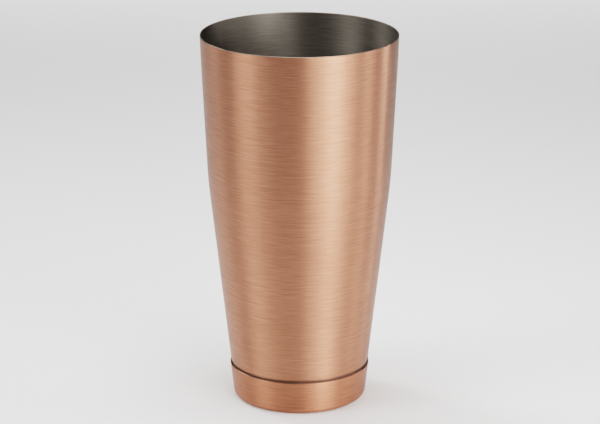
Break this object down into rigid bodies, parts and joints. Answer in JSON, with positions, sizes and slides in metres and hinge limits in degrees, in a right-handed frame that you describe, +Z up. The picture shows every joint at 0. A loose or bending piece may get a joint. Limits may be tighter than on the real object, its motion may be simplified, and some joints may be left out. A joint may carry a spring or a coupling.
{
  "type": "cocktail shaker tin",
  "caption": "Tall copper-plated cocktail shaker tin with a plain lip, a bend at mid-height and a weighted, capped foot.",
  "frame": {"origin": "centre of the foot ring, on the plane that the tin stands on", "axes": "+Z up, along the axis of turning, from the foot to the open mouth; X and Y are free, because the tin is round"},
  "size_m": [0.0922, 0.0922, 0.1765],
  "materials": {
    "antique_copper_plate": "satin",
    "dark_sealant": "matte",
    "zinc_plated_steel": "satin",
    "black_rubber": "matte"
  },
  "bodies": {
    "root": {"shaker_can": "antique_copper_plate", "base_cap": "antique_copper_plate", "seam_bead": "dark_sealant", "ballast_disc": "zinc_plated_steel", "damping_pad": "black_rubber"}
  },
  "joints": []
}
